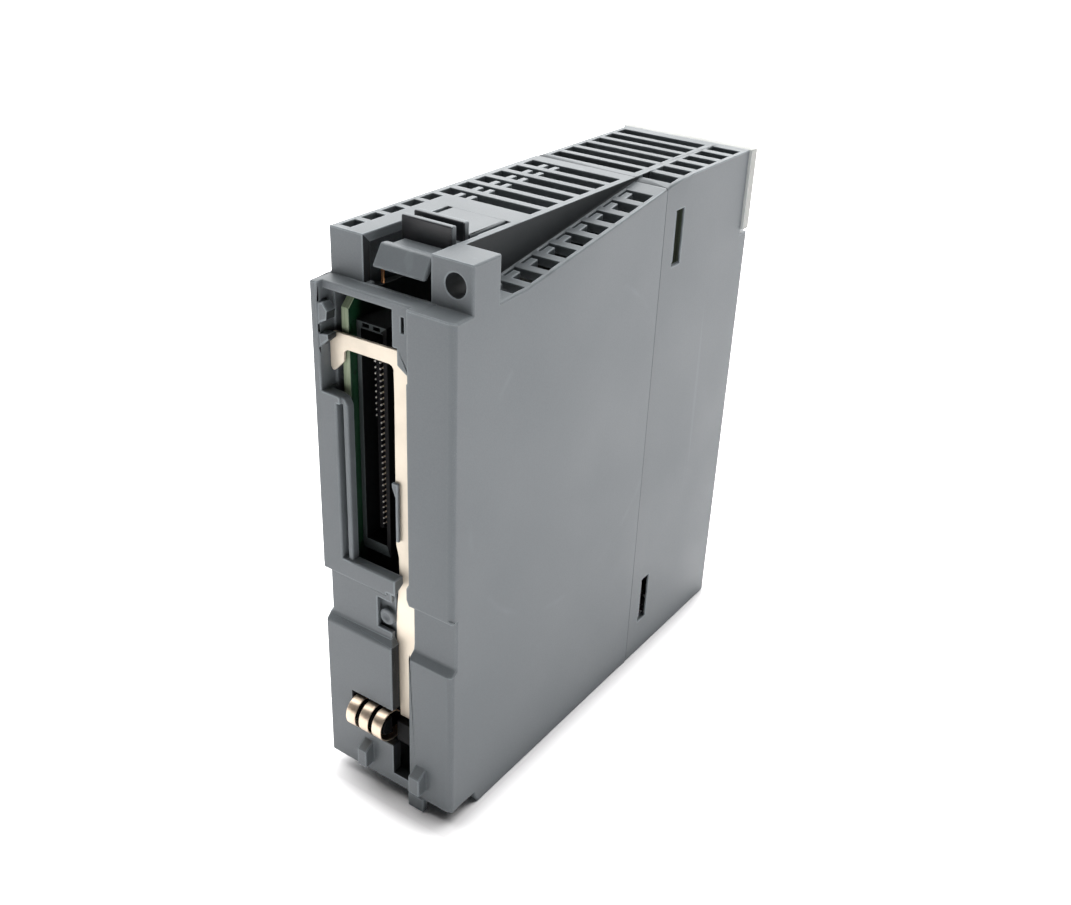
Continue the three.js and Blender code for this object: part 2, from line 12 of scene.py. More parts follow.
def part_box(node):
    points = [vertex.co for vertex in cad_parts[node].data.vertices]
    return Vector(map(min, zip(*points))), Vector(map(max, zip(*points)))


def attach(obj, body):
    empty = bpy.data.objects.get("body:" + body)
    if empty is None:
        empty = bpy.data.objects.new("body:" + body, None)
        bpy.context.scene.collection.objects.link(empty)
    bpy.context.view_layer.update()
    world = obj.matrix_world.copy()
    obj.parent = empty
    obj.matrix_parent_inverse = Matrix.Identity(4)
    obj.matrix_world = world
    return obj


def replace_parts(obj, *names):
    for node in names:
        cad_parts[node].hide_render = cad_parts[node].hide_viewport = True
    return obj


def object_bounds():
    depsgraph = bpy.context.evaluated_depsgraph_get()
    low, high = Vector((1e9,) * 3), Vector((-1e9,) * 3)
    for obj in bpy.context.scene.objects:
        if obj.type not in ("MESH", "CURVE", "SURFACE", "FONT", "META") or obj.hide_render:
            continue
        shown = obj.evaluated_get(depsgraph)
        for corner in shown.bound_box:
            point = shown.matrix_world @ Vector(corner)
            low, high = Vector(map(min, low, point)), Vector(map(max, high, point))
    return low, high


MM = 0.001

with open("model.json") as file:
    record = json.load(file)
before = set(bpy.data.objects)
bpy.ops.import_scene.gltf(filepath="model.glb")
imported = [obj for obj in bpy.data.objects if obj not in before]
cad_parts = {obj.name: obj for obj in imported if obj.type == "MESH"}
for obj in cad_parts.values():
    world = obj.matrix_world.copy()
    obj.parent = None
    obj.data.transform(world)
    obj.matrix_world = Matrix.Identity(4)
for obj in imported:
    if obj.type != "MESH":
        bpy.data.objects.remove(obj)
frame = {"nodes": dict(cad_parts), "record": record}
cad_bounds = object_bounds()
NODES = frame["nodes"]
ROOT_BODY = "module"

# ---- driving positions ------------------------------------------------------------------------

# Read from the frame. The front is at low y, and the rear face with its connector at high y.
FRONT_LOW, FRONT_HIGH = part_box("front_casing")
PEG_REACH = 2.0 * MM  # how far the lower pegs stand out of the rear face
REAR_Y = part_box("rear_casing")[1].y - PEG_REACH
SEAM_Y = FRONT_HIGH.y  # joint between the two casing halves
LATCH_ROOT_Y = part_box("latch_lever")[0].y
SIDE_X = FRONT_HIGH.x
PANEL_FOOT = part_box("led_panel")[0].z - 1 * MM  # just under the panel's lower edge
TOP_Z = FRONT_HIGH.z

# Features that have no node of their own.
LEDGE_Z = TOP_Z - 7.24 * MM  # top of the rear block, under the shoulders
STRIP_X = -6.9 * MM  # wall between the flat top and the sloping strip
SCREW_X, SCREW_Z, SCREW_RADIUS = -10.07 * MM, 94.45 * MM, 1.8 * MM
SCREW_DEPTH = 15 * MM  # the screw hole ends before this depth
PLATE_PAINTED_LIGHT_Z = 44 * MM  # the earth plate is painted lighter below this height, as painted light
BLADE_Y = REAR_Y - 5.6 * MM  # rear edge of the blade that carries the rack contacts

# Regions of the rear half, as a span in x and a span in z.
SILL = ((-2 * MM, 9.3 * MM), (39 * MM, 45.5 * MM))
SILL_END = ((-2.5 * MM, 4 * MM), (39 * MM, 45 * MM))
SIDE_RIB = ((7 * MM, 9.3 * MM), (44 * MM, 74.5 * MM))


def within(point, region):
    """Whether a point lies inside a region, at any depth."""
    (left, right), (low, high) = region
    return left < point.x < right and low < point.z < high


# ---- node materials ---------------------------------------------------------------------------

# Most values of a noise texture lie between these two.
NOISE_LOW, NOISE_HIGH = 0.3, 0.7
# Sockets of a Mix node that mixes colours.
MIX_FACTOR, MIX_FIRST, MIX_SECOND, MIX_RESULT = 0, 6, 7, 2


def fill_ramp(node, stops):
    """Sets the stops of a colour ramp from (place, colour) pairs."""
    elements = node.color_ramp.elements
    while len(elements) < len(stops):
        elements.new(0.5)
    for element, (place, color) in zip(elements, stops):
        element.position = place
        element.color = (*color, 1)


class Nodes:
    """A new material and short calls that add and link its nodes."""

    def __init__(self, name):
        self.material = bpy.data.materials.new(name)
        self.material.use_nodes = True
        self.tree = self.material.node_tree
        self.shader = self.tree.nodes["Principled BSDF"]
        self.coords = self.tree.nodes.new("ShaderNodeTexCoord").outputs["Object"]

    def add(self, kind, inputs=None, **settings):
        """A node with its settings made, and its inputs linked or given a value."""
        node = self.tree.nodes.new("ShaderNode" + kind)
        for key, value in settings.items():
            setattr(node, key, value)
        for key, value in (inputs or {}).items():
            self.put(node.inputs[key], value)
        return node

    def put(self, socket, value):
        """Links a socket to another one, or gives it a constant."""
        if isinstance(value, bpy.types.NodeSocket):
            self.tree.links.new(value, socket)
        else:
            socket.default_value = value

    def set(self, **inputs):
        """Links or sets the shader's own inputs, with _ for the spaces in their names."""
        for key, value in inputs.items():
            self.put(self.shader.inputs[key.replace("_", " ")], value)

    def along(self, axis):
        """Position on the piece along "X", "Y" or "Z"."""
        return self.add("SeparateXYZ", {"Vector": self.coords}).outputs[axis]

    def noise(self, scale, detail=3.0, stretch=None):
        """Noise fixed to the piece, drawn out into lines along an axis whose stretch is small."""
        vector = self.coords
        if stretch:
            vector = self.add("Mapping", {"Vector": self.coords, "Scale": stretch}).outputs["Vector"]
        inputs = {"Vector": vector, "Scale": scale, "Detail": detail, "Roughness": 0.55}
        return self.add("TexNoise", inputs).outputs["Fac"]

    def remap(self, value, low, high, to_low, to_high):
        inputs = {"Value": value, "From Min": low, "From Max": high, "To Min": to_low, "To Max": to_high}
        return self.add("MapRange", inputs).outputs["Result"]

    def times(self, first, second):
        return self.add("Math", {0: first, 1: second}, operation="MULTIPLY").outputs[0]

    def ramp(self, value, *stops):
        node = self.add("ValToRGB", {"Fac": value})
        fill_ramp(node, stops)
        return node.outputs["Color"]

    def mix(self, factor, first, second):
        inputs = {MIX_FACTOR: factor, MIX_FIRST: first, MIX_SECOND: second}
        return self.add("Mix", inputs, data_type="RGBA", blend_type="MIX").outputs[MIX_RESULT]

    def bump(self, height, strength, distance):
        inputs = {"Height": height, "Strength": strength, "Distance": distance}
        return self.add("Bump", inputs).outputs["Normal"]


def shade(color, factor):
    return tuple(min(c * factor, 1.0) for c in color)


def opaque(color):
    return (*color, 1)


WEAR_AND_HIGHLIGHT_REACH = 0.38 * MM  # how near an edge has to be to turn pale, by abrasion and painted highlight
JOINT_NEAR, JOINT_FAR = 0.8 * MM, 1.6 * MM  # the pale edges, abrasion and painted highlight, start and are full this far from a joint


def worn_edges(n, most):
    """High where the surface bends away close by, along every outer edge in patches: abrasion and painted
    highlight.
    """
    inside = n.add("AmbientOcclusion", {"Distance": WEAR_AND_HIGHLIGHT_REACH}, inside=True, samples=4).outputs["AO"]
    edge = n.remap(inside, 0.96, 0.72, 0, most)
    patches = n.remap(n.noise(240, 3), 0.3, 0.65, 0.45, 1)
    depth = n.along("Y")
    worn_and_lit = n.times(edge, patches)
    for joint_y in (SEAM_Y, LATCH_ROOT_Y):
        offset = n.add("Math", {0: depth, 1: joint_y}, operation="SUBTRACT").outputs[0]
        away = n.add("Math", {0: offset}, operation="ABSOLUTE").outputs[0]
        worn_and_lit = n.times(worn_and_lit, n.remap(away, JOINT_NEAR, JOINT_FAR, 0, 1))
    return worn_and_lit


# A faint arc rubbed into the side, about a centre behind the seam.
RUB_CENTRE = (-SIDE_X, SEAM_Y + 24 * MM, 58 * MM)
RUB_INNER, RUB_RADIUS, RUB_OUTER = 0.0275, 0.0283, 0.0291


def rub_marks(n):
    """The arc and a few hair-thin scratches, no stronger than about a third."""
    reach = n.add("VectorMath", {0: n.coords, 1: RUB_CENTRE}, operation="DISTANCE").outputs["Value"]
    rise = n.remap(reach, RUB_INNER, RUB_RADIUS, 0, 1)
    fall = n.remap(reach, RUB_RADIUS, RUB_OUTER, 1, 0)
    patchy = n.remap(n.noise(70, 3), 0.5, 0.62, 0, 0.35)
    arc = n.times(n.times(rise, fall), patchy)
    hair = n.remap(n.noise(260, 2, stretch=(1, 1, 0.03)), 0.715, 0.74, 0, 0.3)
    return n.add("Math", {0: arc, 1: hair}, operation="MAXIMUM").outputs[0]


GRAIN = 0.28  # strength of the eroded grain of moulded plastic
GRAIN_DEPTH = 0.00006


def moulded_plastic(name, color, roughness, scuffed=False, specular=0.35, wear_and_highlight=0.0):
    """Injection-moulded plastic: eroded grain and faint mottling.

    It can have rub marks (scuffed) and pale edges, partly abrasion and partly painted highlight, up to the
    share given as wear_and_highlight.
    """
    n = Nodes(name)
    broad = n.noise(45, 4)
    fine = n.noise(5200, 2)
    tone = n.ramp(broad, (NOISE_LOW, shade(color, 0.96)), (NOISE_HIGH, shade(color, 1.04)))
    speckle = n.ramp(fine, (0.35, shade(color, 0.92)), (0.65, shade(color, 1.08)))
    base = n.mix(0.5, tone, speckle)
    rough = n.remap(broad, NOISE_LOW, NOISE_HIGH, roughness - 0.05, roughness + 0.06)
    if scuffed:
        base = n.mix(rub_marks(n), base, opaque(shade(color, 1.35)))
    if wear_and_highlight:
        # Pale edges: partly abrasion, partly painted highlight.
        base = n.mix(worn_edges(n, wear_and_highlight), base, opaque(shade(color, 2.2)))
    n.set(Base_Color=base, Roughness=rough, Normal=n.bump(fine, GRAIN, GRAIN_DEPTH))
    n.shader.inputs["Specular IOR Level"].default_value = specular
    return n.material


TARNISH = 0.15  # how much darker the tarnished patches of a metal are


def rolled_metal(name, color, roughness, lines=(1, 1, 0.04), metallic=1.0, painted_light_below=None):
    """Rolled or plated sheet: fine lines one way, a faint uneven tarnish, and painted light below an
    optional height.
    """
    n = Nodes(name)
    drawn = n.noise(9000, 2, stretch=lines)
    broad = n.noise(160, 4)
    base = n.ramp(broad, (NOISE_LOW, shade(color, 1 - TARNISH)), (0.62, color))
    if painted_light_below:
        # Painted light: the sheet turns lighter below the given height.
        low = n.remap(n.along("Z"), painted_light_below + 6 * MM, painted_light_below - 6 * MM, 0, 1)
        base = n.mix(low, base, opaque(shade(color, 1.25)))
    rough = n.remap(drawn, NOISE_LOW, NOISE_HIGH, roughness - 0.06, roughness + 0.08)
    n.set(Base_Color=base, Roughness=rough, Normal=n.bump(drawn, 0.06, 0.00002))
    n.shader.inputs["Metallic"].default_value = metallic
    return n.material


BOARD_RELIEF = 0.00004
# The board turns near black between these two, where little light reaches it.
BOARD_LIT, BOARD_DARK = REAR_Y - 4.5 * MM, REAR_Y - 6 * MM


def solder_mask(name):
    """Lacquered board: dark green with the faint relief of tracks under the lacquer."""
    n = Nodes(name)
    cells = n.add("TexVoronoi", {"Vector": n.coords, "Scale": 420.0}, distance="MANHATTAN", feature="F1")
    tracks = n.remap(cells.outputs["Distance"], 0.32, 0.4, 0, 1)
    base = n.ramp(tracks, (0.0, (0.002, 0.016, 0.006)), (1.0, (0.004, 0.032, 0.012)))
    base = n.mix(n.remap(n.along("Y"), BOARD_LIT, BOARD_DARK, 0, 1), base, (0.001, 0.0025, 0.0015, 1))
    n.set(Base_Color=base, Roughness=n.remap(n.noise(90), NOISE_LOW, NOISE_HIGH, 0.3, 0.42))
    n.set(Normal=n.bump(tracks, 0.3, BOARD_RELIEF))
    return n.material


def laminate(name):
    """Cut edge of a board: pale green layers of glass fibre."""
    n = Nodes(name)
    layers = n.noise(5200, 1, stretch=(1, 0.02, 0.02))
    base = n.ramp(layers, (0.35, (0.17, 0.22, 0.136)), (0.65, (0.3, 0.35, 0.242)))
    n.set(Base_Color=base, Roughness=n.remap(n.noise(300), NOISE_LOW, NOISE_HIGH, 0.55, 0.7))
    n.set(Normal=n.bump(layers, 0.3, BOARD_RELIEF))
    return n.material


BODY = moulded_plastic("slate_plastic", (0.108, 0.121, 0.129), roughness=0.5, scuffed=True, wear_and_highlight=0.75)
# Painted shade: a near-black copy of the body plastic for the casing's inside, screw hole and bays.
INNER_SHADE = moulded_plastic("inner_painted_shade", (0.022, 0.025, 0.027), roughness=0.55, specular=0.2)
# Painted shade: a darker, glossier copy of the body plastic for the ridges' upright rear faces.
RIDGE_BACK_SHADE = moulded_plastic("ridge_painted_shade", (0.014, 0.015, 0.018), roughness=0.32, specular=0.4, wear_and_highlight=0.8)
PANEL = moulded_plastic("panel_plastic", (0.305, 0.309, 0.294), roughness=0.5)
# Painted light: a paler copy of the panel plastic for the panel's rear-facing faces.
PANEL_BACK_LIT = moulded_plastic("panel_back_painted_light", (0.48, 0.5, 0.49), roughness=0.5)
BLACK = moulded_plastic("black_plastic", (0.008, 0.008, 0.009), roughness=0.42)
# Painted shade: darker than the black plastic, for the shroud and the contact holder; the shroud's rim
# takes a lighter copy as painted light.
SHROUD_SHADE = moulded_plastic("shroud_painted_shade", (0.002, 0.0022, 0.0026), roughness=0.6, specular=0.12)
SHROUD_RIM_LIT = moulded_plastic("shroud_rim_painted_light", (0.04, 0.049, 0.05), roughness=0.5, specular=0.3)
WHITE = moulded_plastic("white_plastic", (0.4, 0.4, 0.37), roughness=0.5)
INK = moulded_plastic("dial_ink", (0.5, 0.5, 0.48), roughness=0.6)
CHIP = moulded_plastic("chip_epoxy", (0.02, 0.02, 0.022), roughness=0.6)
GUIDE = moulded_plastic("light_guide", (0.55, 0.6, 0.6), roughness=0.2)
BOARD = solder_mask("solder_mask")
LAMINATE = laminate("board_edge")
PLATE = rolled_metal(
    "tinned_plate", (0.6, 0.535, 0.44), roughness=0.42, metallic=0.4, painted_light_below=PLATE_PAINTED_LIGHT_Z
)
GOLD = rolled_metal("contact_gold", (0.7, 0.57, 0.44), roughness=0.36, lines=(0.04, 1, 1), metallic=0.85)
PIN = rolled_metal("pin_gold", (0.78, 0.75, 0.7), roughness=0.3)
COPPER = rolled_metal("bare_copper", (0.75, 0.38, 0.18), roughness=0.3)
STEEL = rolled_metal("plated_steel", (0.4, 0.4, 0.39), roughness=0.45, metallic=0.8)

BY_SLOT = {
    "body": BODY,
    "panel": PANEL,
    "black_plastic": BLACK,
    "chip": CHIP,
    "tinned_plate": PLATE,
    "contact_gold": GOLD,
    "copper": COPPER,
    "board": BOARD,
    "steel": STEEL,
    "clear_guide": GUIDE,
    "white_plastic": WHITE,
}
SLOT_OF = {row["node"]: row["material_slot"] for row in frame["record"]["subparts"]}
BODY_OF = {node: body for body, nodes in frame["record"]["behaviour"]["bodies"].items() for node in nodes}


# ---- making pieces ----------------------------------------------------------------------------

SHARP = math.radians(30)  # a steeper bend than this is an edge
BEVEL_LAYER = "bevel_weight_edge"
MERGE, MERGE_GLYPHS = 2e-6, 1e-6  # points closer than this are one


def new_piece(name, mesh, body):
    piece = bpy.data.objects.new(name, mesh)
    bpy.context.scene.collection.objects.link(piece)
    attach(piece, body)
    return piece


def mesh_of(name, bm, material):
    """The mesh of a finished bmesh, shaded smooth."""
    mesh = bpy.data.meshes.new(name)
    for face in bm.faces:
        face.smooth = True
    bm.to_mesh(mesh)
    bm.free()
    mesh.materials.append(material)
    return mesh


def round_edges(piece, width, segments):
    """Bevels the edges by their weight x width mm and keeps the flat faces flat in the shading."""
    bevel = piece.modifiers.new("rounded", "BEVEL")
    bevel.width = width * MM
    bevel.segments = segments
    bevel.limit_method = "WEIGHT"
    bevel.use_clamp_overlap = False
    bevel.loop_slide = False
    shading = piece.modifiers.new("shading", "WEIGHTED_NORMAL")
    shading.mode = "FACE_AREA"
    shading.weight = 100
    shading.keep_sharp = True


def full_width(edge):
    return 1.0


def weigh_edges(bm, weight):
    """Gives every edge its share of the rounding's width."""
    layer = bm.edges.layers.float.new(BEVEL_LAYER)
    for edge in bm.edges:
        edge[layer] = weight(edge)


def faces_rear(face):
    return face.normal.y > 0.5


def even_triangles(bm):
    """The same shape with its flat faces cut into fewer and less slender triangles."""
    bmesh.ops.dissolve_limit(bm, angle_limit=math.radians(0.5), verts=bm.verts, edges=bm.edges)
    bmesh.ops.triangulate(bm, faces=bm.faces, quad_method="BEAUTY", ngon_method="BEAUTY")


def soften(node, width, segments, weight=full_width, material=None, second=None, on=faces_rear, even=False):
    """A copy of a CAD node with its sharp edges rounded by weight(edge) x width mm.

    The second material, if there is one, goes on the faces that on(face) picks. With even, the
    flat faces are cut into better triangles first.
    """
    bm = bmesh.new()
    bm.from_mesh(NODES[node].data)
    bmesh.ops.remove_doubles(bm, verts=bm.verts, dist=MERGE)
    if even:
        even_triangles(bm)
    layer = bm.edges.layers.float.new(BEVEL_LAYER)
    for edge in bm.edges:
        if edge.is_manifold and edge.calc_face_angle(0) > SHARP:
            edge[layer] = weight(edge)
            edge.smooth = weight(edge) > 0
    if second:
        for face in bm.faces:
            face.material_index = int(on(face))
    slot = SLOT_OF[node]
    mesh = mesh_of("fine_" + node, bm, material or BY_SLOT[slot])
    if second:
        mesh.materials.append(second)
    piece = new_piece("fine_" + node, mesh, BODY_OF[node])
    round_edges(piece, width, segments)
    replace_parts(piece, node)


# ---- the casing, the latch and the other copies -----------------------------------------------


def on_rim(face):
    """The rearmost faces of the connector's shroud, but for its shaded side; they take the rim's painted
    light.
    """
    low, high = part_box("bus_shroud")
    middle = face.calc_center_median()
    return faces_rear(face) and middle.y > high.y - 0.3 * MM and middle.x > low.x + 0.8 * MM


def on_ridge(face):
    """The upright rear faces of the latch's two finger ridges, which get painted shade."""
    return face.normal.y > 0.95 and face.calc_center_median().z > TOP_Z - 2.7 * MM


SKIN = 1.6 * MM  # a little more than the casing's walls
SMALLEST_INNER = 0.6 * MM * MM  # smaller faces keep the colour of the outside, without painted shade
LOW_BAYS_Z = TOP_Z / 5  # faces that look up get painted shade only below this height


def is_clear(point):
    """Away from the sill, the side rib and the sloping strip, which get no painted shade and stay as pale
    as the outside.
    """
    by_strip = point.x < STRIP_X - 0.1 * MM and point.z > LEDGE_Z - 2 * MM
    return not (within(point, SILL) or within(point, SIDE_RIB) or by_strip)


def is_deep(point):
    """Further inside the casing than its walls are thick."""
    between_ends = FRONT_LOW.y + 4 * MM < point.y < REAR_Y - SKIN
    return abs(point.x) < SIDE_X - SKIN and between_ends and SKIN < point.z < TOP_Z - SKIN


def is_inner(face):
    """Faces of the casing inside its walls, in the screw hole, and in the bays cut into it: these get
    painted shade.
    """
    middle = face.calc_center_median()
    from_screw = math.hypot(middle.x - SCREW_X, middle.z - SCREW_Z)
    if from_screw < SCREW_RADIUS + 0.05 * MM and middle.y > REAR_Y - SCREW_DEPTH:
        return True
    looks_up = face.normal.z > 0.3 and middle.z > LOW_BAYS_Z
    if faces_rear(face) or looks_up:
        return False
    points = [v.co for v in face.verts]
    return face.calc_area() > SMALLEST_INNER and all(map(is_clear, points)) and any(map(is_deep, points))


def at_latch_root(edge):
    """Both ends on the line where the latch's tongue bends out of the top."""
    return all(abs(v.co.y - LATCH_ROOT_Y) < 0.2 * MM and v.co.z > TOP_Z - 3.5 * MM for v in edge.verts)


def latch_weight(edge):
    """Full rounding on the outward edges of the latch, and crisp inward corners."""
    if at_latch_root(edge):
        return 0.05
    return 1.0 if edge.is_convex else 0.15


def casing_weight(edge):
    """Wide rounding on the outline of the casing, fine rounding on slots, none along the seam."""
    a, b = (v.co for v in edge.verts)
    foremost, rearmost = min(a.y, b.y), max(a.y, b.y)
    lowest = min(a.z, b.z)
    on_seam = max(abs(a.y - SEAM_Y), abs(b.y - SEAM_Y)) < 0.4 * MM
    outer = min(abs(a.x), abs(b.x)) > SIDE_X - 0.02 * MM
    by_window = SEAM_Y - 8 * MM < foremost and rearmost < SEAM_Y - 2 * MM
    by_panel = rearmost < FRONT_LOW.y + 4.5 * MM and lowest > PANEL_FOOT
    front_top = rearmost < SEAM_Y and lowest > TOP_Z - 2 * MM
    long_rear = foremost > REAR_Y - 1.5 * MM and (a - b).length > 6 * MM
    if on_seam:
        return 0.0
    if at_latch_root(edge):
        return 0.05
    if within(a, SILL_END) and within(b, SILL_END):
        return 0.2
    if by_panel:
        return 0.25
    if outer and front_top:
        return 0.4
    if outer and not by_window:
        return 1.0
    return 0.8 if long_rear else 0.4


# Width in mm and segments of the rounding of each piece, where it isn't the usual one.
USUAL_ROUNDING = (0.08, 2)
ROUNDING = {
    "rear_casing": (0.38, 3),
    "front_casing": (0.38, 3),
    "latch_lever": (0.3, 3),
    "main_board": (0.08, 1),
    "front_board": (0.08, 1),
    "led_panel": (0.14, 3),
    "spring_holder": (0.15, 2),
    "bus_shroud": (0.1, 2),
    "earth_plate": (0.1, 2),
    "plate_clip": (0.15, 3),
    "latch_strip": (0.06, 2),
}
# What the copies of some nodes take besides.
TREATMENT = {
    "rear_casing": {"weight": casing_weight, "second": INNER_SHADE, "on": is_inner},
    "front_casing": {"weight": casing_weight, "second": INNER_SHADE, "on": is_inner},
    "latch_lever": {"weight": latch_weight, "second": RIDGE_BACK_SHADE, "on": on_ridge, "even": True},
    "main_board": {"second": LAMINATE},
    "front_board": {"second": LAMINATE},
    # The panel's rear-facing faces take the paler copy, as painted light.
    "led_panel": {"second": PANEL_BACK_LIT},
    # The holder and the shroud take the near-black painted shade, the shroud's lit rim the painted light.
    "spring_holder": {"material": SHROUD_SHADE},
    "bus_shroud": {"material": SHROUD_SHADE, "second": SHROUD_RIM_LIT, "on": on_rim},
}
# Nodes that have a piece of their own making below.
OWN_PIECES = ("plate_stake", "earth_spring_1", "earth_spring_2", "earth_spring_3")


def refined_copies():
    for node in NODES:
        if node not in OWN_PIECES:
            width, segments = ROUNDING.get(node, USUAL_ROUNDING)
            soften(node, width, segments, **TREATMENT.get(node, {}))


# ---- earth contacts ---------------------------------------------------------------------------

# Outline of an earth contact, and of the painted-shadow block in its curl, as (depth, height) in mm.
SPRING_CURVE = [
    (3.9, 11.7),
    (1.2, 11.7),
    (-0.6, 12.2),
    (-1.85, 13.3),
    (-2.25, 14.7),
    (-1.95, 16.1),
    (-1.0, 17.1),
    (0.4, 17.5),
    (1.8, 17.2),
    (2.6, 16.4),
]
SHADOW_PAD_OUTLINE = [(-0.9, 13.4), (-1.6, 14.7), (-0.9, 16.2), (0.9, 16.6), (1.0, 12.9)]
SPRING_GAUGE = 0.25 * MM
SPRING_CORNER = math.radians(60)


def from_rear(points):
    """Points given as (depth, height) in mm, as (y, z) in the frame."""
    return [(REAR_Y - d * MM, z * MM) for d, z in points]


def strip_mesh(path, gauge, span):
    """A strip of even thickness along a path of (y, z) points, between two x values."""
    bm = bmesh.new()
    left, right = span
    rows = []
    for i, (y, z) in enumerate(path):
        y0, z0 = path[max(i - 1, 0)]
        y1, z1 = path[min(i + 1, len(path) - 1)]
        length = math.hypot(y1 - y0, z1 - z0)
        ny = (z1 - z0) / length * gauge / 2
        nz = -(y1 - y0) / length * gauge / 2
        corners = [
            (left, y + ny, z + nz),
            (right, y + ny, z + nz),
            (right, y - ny, z - nz),
            (left, y - ny, z - nz),
        ]
        rows.append([bm.verts.new(c) for c in corners])
    for low, high in zip(rows, rows[1:]):
        for k in range(4):
            bm.faces.new((low[k], low[(k + 1) % 4], high[(k + 1) % 4], high[k]))
    bm.faces.new(rows[0][::-1])
    bm.faces.new(rows[-1])
    bmesh.ops.recalc_face_normals(bm, faces=bm.faces)
    return bm


def between(a, b, c, d, t):
    """One coordinate at t of the way from b to c, on the Catmull-Rom curve of four points."""
    square = (2 * a - 5 * b + 4 * c - d) * t * t
    cube = (3 * b - a - 3 * c + d) * t ** 3
    return 0.5 * (2 * b + (c - a) * t + square + cube)


def smooth_path(points, steps=6):
    """A curve through the points."""
    path = []
    for i in range(len(points) - 1):
        before = points[max(i - 1, 0)]
        after = points[min(i + 2, len(points) - 1)]
        for k in range(steps):
            axes = zip(before, points[i], points[i + 1], after)
            path.append(tuple(between(*four, k / steps) for four in axes))
    return path + [points[-1]]


def at_corner(edge):
    """Full rounding along the strip's corners, none across its curve."""
    return 1.0 if edge.calc_face_angle(0) > SPRING_CORNER else 0.0


def earth_springs():
    for i in (1, 2, 3):
        node = f"earth_spring_{i}"
        low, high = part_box(node)
        path = smooth_path(from_rear(SPRING_CURVE))
        bm = strip_mesh(path, SPRING_GAUGE, (low.x + 0.04 * MM, high.x - 0.04 * MM))
        weigh_edges(bm, at_corner)
        piece = new_piece("fine_" + node, mesh_of("fine_" + node, bm, GOLD), BODY_OF[node])
        round_edges(piece, 0.05, 2)
        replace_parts(piece, node)


def spring_pads():
    """A near-black block of painted shadow inside the curl of each earth contact, which moves with it."""
    for i in (1, 2, 3):
        node = f"earth_spring_{i}"
        name = f"spring_shadow_pad_{i}"
        low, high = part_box(node)
        bm = bmesh.new()
        ends = []
        for x in (low.x + 0.12 * MM, high.x - 0.12 * MM):
            ends.append([bm.verts.new((x, y, z)) for y, z in from_rear(SHADOW_PAD_OUTLINE)])
        near, far = ends
        for k in range(len(SHADOW_PAD_OUTLINE)):
            j = (k + 1) % len(SHADOW_PAD_OUTLINE)
            bm.faces.new((near[k], near[j], far[j], far[k]))
        bm.faces.new(near)
        bm.faces.new(far)
        bmesh.ops.recalc_face_normals(bm, faces=bm.faces)
        weigh_edges(bm, full_width)
        piece = new_piece(name, mesh_of(name, bm, SHROUD_SHADE), BODY_OF[node])
        round_edges(piece, 0.25, 3)


# ---- stake, rack contacts, latch root and dial numbers ----------------------------------------

LATHE_SIDES = 40


def lathe_mesh(profile, centre):
    """A round piece about an axis along y: the profile lists (radius, y) pairs, the ends on the axis."""
    bm = bmesh.new()
    rings = []
    for radius, y in profile:
        ring = []
        for k in range(LATHE_SIDES if radius else 1):
            turn = 2 * math.pi * k / LATHE_SIDES
            x = centre[0] + radius * math.sin(turn)
            z = centre[1] + radius * math.cos(turn)
            ring.append(bm.verts.new((x, y, z)))
        rings.append(ring)
    for inner, outer in zip(rings, rings[1:]):
        for k in range(LATHE_SIDES):
            j = (k + 1) % LATHE_SIDES
            if len(inner) == 1:
                bm.faces.new((inner[0], outer[k], outer[j]))
            elif len(outer) == 1:
                bm.faces.new((inner[k], outer[0], inner[j]))
            else:
                bm.faces.new((inner[k], outer[k], outer[j], inner[j]))
    bmesh.ops.recalc_face_normals(bm, faces=bm.faces)
    return bm


# Head of the stake from its middle to its rim, as (share of its radius, share of its height).
STAKE_HEAD = [
    (0, -0.5),
    (0.25, -0.48),
    (0.42, -0.22),
    (0.55, -0.06),
    (0.7, 0),
    (0.86, -0.08),
    (0.96, -0.25),
    (1, -0.45),
]
STAKE_HEIGHT = 0.6  # mm


def plate_stake():
    """The pressed stake: a low dome with a dimple in its middle."""
    low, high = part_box("plate_stake")
    radius = (high.x - low.x) / 2
    centre = ((low.x + high.x) / 2, (low.z + high.z) / 2)
    head = [(radius * r, high.y + y * STAKE_HEIGHT * MM) for r, y in STAKE_HEAD]
    profile = head + [(radius, low.y), (0, low.y)]
    mesh = mesh_of("fine_plate_stake", lathe_mesh(profile, centre), BODY)
    mesh.set_sharp_from_angle(angle=math.radians(50))
    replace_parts(new_piece("fine_plate_stake", mesh, ROOT_BODY), "plate_stake")


def box_into(bm, low, high):
    """Adds a box between two corners."""
    verts = [bm.verts.new(corner) for corner in itertools.product(*zip(low, high))]
    for side in ((0, 1, 3, 2), (4, 6, 7, 5), (0, 4, 5, 1), (2, 3, 7, 6), (0, 2, 6, 4), (1, 5, 7, 3)):
        bm.faces.new([verts[k] for k in side])


PIN_PITCH = 1.0 * MM
PIN_COUNT = 31
FIRST_PIN = 50.1 * MM
PIN_HALF = 0.13 * MM
PIN_FRONT, PIN_REAR = BLADE_Y - 0.7 * MM, BLADE_Y + 0.06 * MM
ROW_A_X, ROW_B_X = 5.28 * MM, 6.25 * MM
FIRST_SEEN_IN_B = 19


def pin_tips(name, node, middle_x, first=0):
    """The bright ends of one row of rack connector contacts, seen on the blade's edge."""
    bm = bmesh.new()
    for k in range(first, PIN_COUNT):
        z = FIRST_PIN + k * PIN_PITCH
        low = (middle_x - PIN_HALF, PIN_FRONT, z - PIN_HALF)
        high = (middle_x + PIN_HALF, PIN_REAR, z + PIN_HALF)
        box_into(bm, low, high)
    weigh_edges(bm, full_width)
    piece = new_piece(name, mesh_of(name, bm, PIN), BODY_OF[node])
    round_edges(piece, 0.05, 1)


